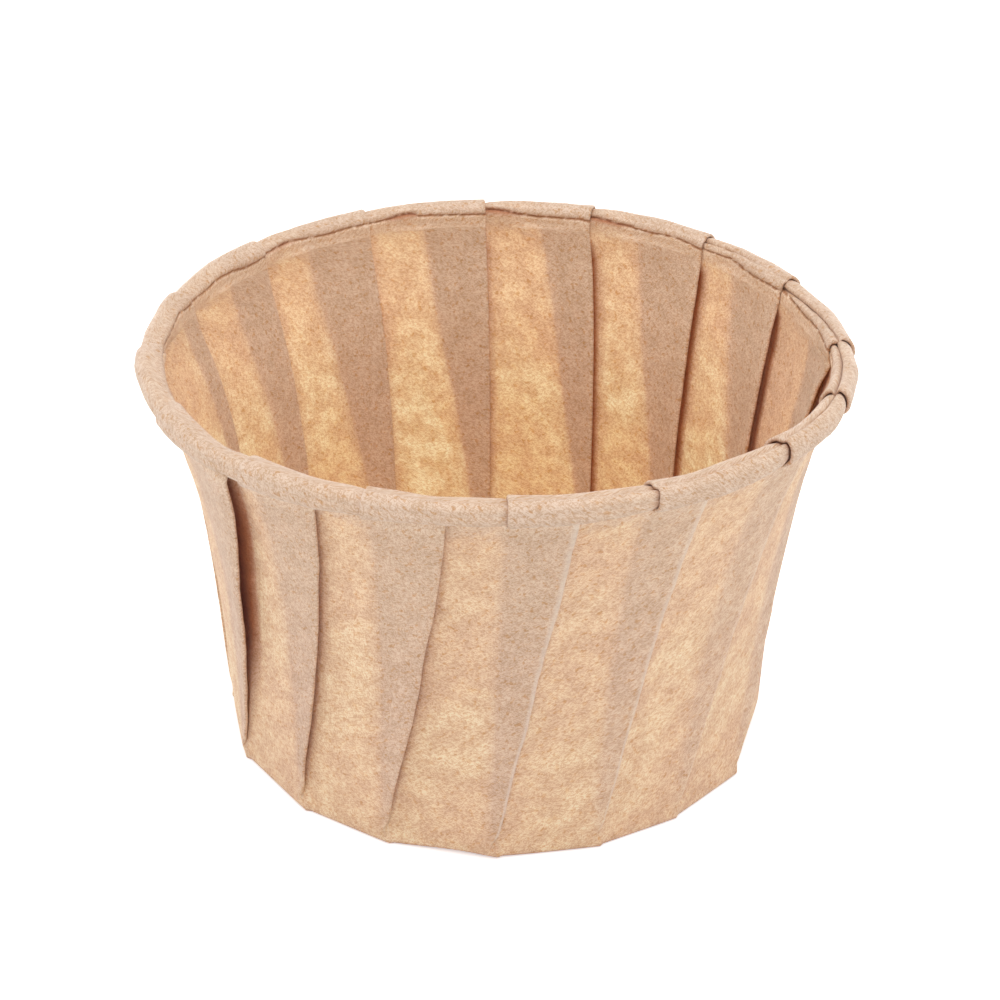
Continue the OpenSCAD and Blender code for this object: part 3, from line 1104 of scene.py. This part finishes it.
        glow = nodes.times(nodes.tint(cloud, self.thin), self.through)
        glow = nodes.times(glow, nodes.tint(drift, self.drifted))
        glow = nodes.times(glow, grain)
        # Painted light: the light through the paper is brightened lower down the wall
        glow = nodes.times(glow, self.low_painted_light, low)
        # Painted shade on the light through the paper where other layers lie over it
        glow = nodes.times(glow, self.layer_shade_tint, nodes.attribute("painted_layer_shade"))

        ragged = nodes.maths("MULTIPLY", nodes.maths("ADD", bends["Fac"], cloud), self.ragged_mm)
        edge = nodes.maths("ADD", ragged, nodes.maths("SUBTRACT", below, self.ragged_mm))
        soft = self.rim_band_edge_mm
        rim_band = nodes.smooth(edge, self.rim_band_mm + soft, self.rim_band_mm - soft)
        lost = self.rim_band_share*self.through_share
        share = nodes.maths("MULTIPLY_ADD", rim_band, -lost, self.through_share)

        # Painted shade in folds, slits and grooves, under the crease's arch, on the bend and behind
        # flaps
        painted_shade = nodes.maths("MAXIMUM", nodes.attribute("painted_shade"), self.painted_shade_behind_flap(nodes))
        body = nodes.times(body, self.painted_shade_body, painted_shade)
        glow = nodes.times(glow, self.painted_shade_glow, painted_shade)
        relief = {"Strength": self.bump_share, "Distance": self.bump_m, "Height": pale}
        paper = nodes.add("BsdfPrincipled", {
            "Base Color": body, "Roughness": self.roughness, "Specular IOR Level": self.gloss,
            "Sheen Weight": self.fuzz, "Sheen Roughness": self.fuzz_rough,
            "Normal": nodes.add("Bump", relief).outputs["Normal"],
        })
        lit = nodes.add("BsdfTranslucent", {"Color": glow})
        nodes.finish("Material", share, paper.outputs["BSDF"], lit.outputs["BSDF"])
        return material

    def painted_shade_behind_flap(self, nodes: Nodes) -> bpy.types.NodeSocket:
        """Painted shade behind a flap, on faces that look away from the cup's axis only."""
        face = nodes.add("NewGeometry", {}).outputs
        facing = nodes.vector("DOT_PRODUCT", face["Normal"], face["Position"], output="Value")
        outer = nodes.smooth(facing, -self.outer_side_m, self.outer_side_m)
        return nodes.maths("MULTIPLY", nodes.attribute("outside"), outer)

    def fibres(
        self, nodes: Nodes, place: bpy.types.NodeSocket, kind: str, along: tuple[float, ...]
    ) -> bpy.types.NodeSocket:
        """Add fibres that lie along some directions of the sheet."""
        scale = (1000.0/self.fibre_long_mm, 1000.0/self.fibre_wide_mm, 1000.0/self.fibre_wide_mm)
        found = None
        for angle in along:
            turned = nodes.add("Mapping", {
                "Vector": place, "Location": tuple(angle*shift for shift in self.fibre_shift),
                "Rotation": (0.0, 0.0, angle),
            })
            stretched = nodes.vector("MULTIPLY", turned.outputs["Vector"], scale)
            fibre = nodes.noise(stretched, 1.0, 0.0, 0.5).outputs["Fac"]
            found = fibre if found is None else nodes.maths(kind, found, fibre)
        return found


@dataclass(frozen=True)
class Lamp:
    """Soft box: where it hangs and its width and height in mm, and its power in watts."""

    name: str
    place: Triple
    size: Pair
    power: float


@dataclass(frozen=True)
class Studio:
    """Pale floor, soft light and the camera at the photograph's angle. Lengths are in mm.

    The camera looks down from its eye, and is turned about its own axis, by angles in degrees.
    The floor is lit as a pale one, and the camera sees it whiter by floor_white.
    """

    eye: Triple = (0.37, -256.9, 167.6)
    look_down: float = 28.97
    roll: float = 0.78
    lens: float = 100.0
    sensor: float = 36.0
    clip_from: float = 10.0
    floor_size: float = 4000.0
    floor_colour: Triple = (0.90, 0.90, 0.90)
    floor_white: float = 0.50
    ambient: float = 0.48
    aim: Triple = (0.0, 0.0, 22.0)
    lamps: tuple[Lamp, ...] = (
        Lamp("front", (0.0, -400.0, 600.0), (450.0, 450.0), 1.5),
        Lamp("top", (0.0, 40.0, 700.0), (450.0, 450.0), 1.6),
        Lamp("left", (-570.0, -60.0, 220.0), (420.0, 420.0), 0.80),
        Lamp("right", (560.0, -60.0, 300.0), (420.0, 420.0), 0.75),
        Lamp("back", (0.0, 500.0, 48.0), (900.0, 70.0), 1.7),
    )

    def floor(self) -> None:
        """Lay the floor."""
        bpy.ops.object.select_all(action="DESELECT")
        bpy.ops.mesh.primitive_plane_add(size=self.floor_size*MM, location=(0, 0, 0))
        floor = bpy.context.active_object
        floor.name = "floor"
        material = bpy.data.materials.new("floor")
        nodes = Nodes(material)
        matt = nodes.add("BsdfDiffuse", {"Color": self.floor_colour}).outputs["BSDF"]
        glow = nodes.add("Emission", {"Color": WHITE, "Strength": self.floor_white})
        both = nodes.add("AddShader", {0: matt, 1: glow.outputs["Emission"]}).outputs["Shader"]
        nodes.finish("Material", nodes.seen(), matt, both)
        floor.data.materials.append(material)

    def world(self) -> None:
        """Set an even white surrounding, plain and pale to the camera."""
        world = bpy.data.worlds.new("studio")
        bpy.context.scene.world = world
        nodes = Nodes(world)
        light = nodes.add("Background", {"Color": WHITE, "Strength": self.ambient})
        seen = nodes.add("Background", {"Strength": 1.0})
        nodes.finish(
            "World", nodes.seen(), light.outputs["Background"], seen.outputs["Background"]
        )

    def hang(self, lamp: Lamp) -> None:
        """Hang a lamp."""
        data = bpy.data.lights.new(lamp.name, "AREA")
        data.shape = "RECTANGLE"
        data.size, data.size_y = lamp.size[0]*MM, lamp.size[1]*MM
        data.energy = lamp.power
        box = bpy.data.objects.new(lamp.name, data)
        bpy.context.scene.collection.objects.link(box)
        box.location = Vector(lamp.place)*MM
        away = Vector(self.aim)*MM - Vector(lamp.place)*MM
        box.rotation_euler = away.to_track_quat("-Z", "Y").to_euler()

    def camera(self) -> None:
        """Set the camera where the photograph was taken from."""
        down = math.radians(self.look_down)
        roll = math.radians(self.roll)
        right = Vector((1, 0, 0))
        up = Vector((0, math.sin(down), math.cos(down)))
        back = Vector((0, -math.cos(down), math.sin(down)))
        side = math.cos(roll)*right + math.sin(roll)*up
        over = -math.sin(roll)*right + math.cos(roll)*up
        data = bpy.data.cameras.new("camera")
        data.lens = self.lens
        data.sensor_width = self.sensor
        data.clip_start = self.clip_from*MM
        camera = bpy.data.objects.new("camera", data)
        turn = Matrix((side, over, back)).transposed().to_4x4()
        camera.matrix_world = Matrix.Translation(Vector(self.eye)*MM) @ turn
        bpy.context.scene.collection.objects.link(camera)
        bpy.context.scene.camera = camera

    def build(self) -> None:
        """Set up the whole studio."""
        self.camera()
        self.floor()
        self.world()
        for lamp in self.lamps:
            self.hang(lamp)
        bpy.context.scene.view_settings.view_transform = "Standard"


def main() -> None:
    """Build the studio and the liner."""
    logging.basicConfig(level=logging.INFO)
    Studio().build()
    liner = Liner(CupSection(), PLEATS)
    piece = liner.make()
    piece.data.materials.append(KraftPaper().build())
    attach(piece, "root")
    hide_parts("liner")
    log.info("pleated_liner: %d columns, %d rings", liner.columns, len(liner.rings))


if __name__ == "__main__":
    main()
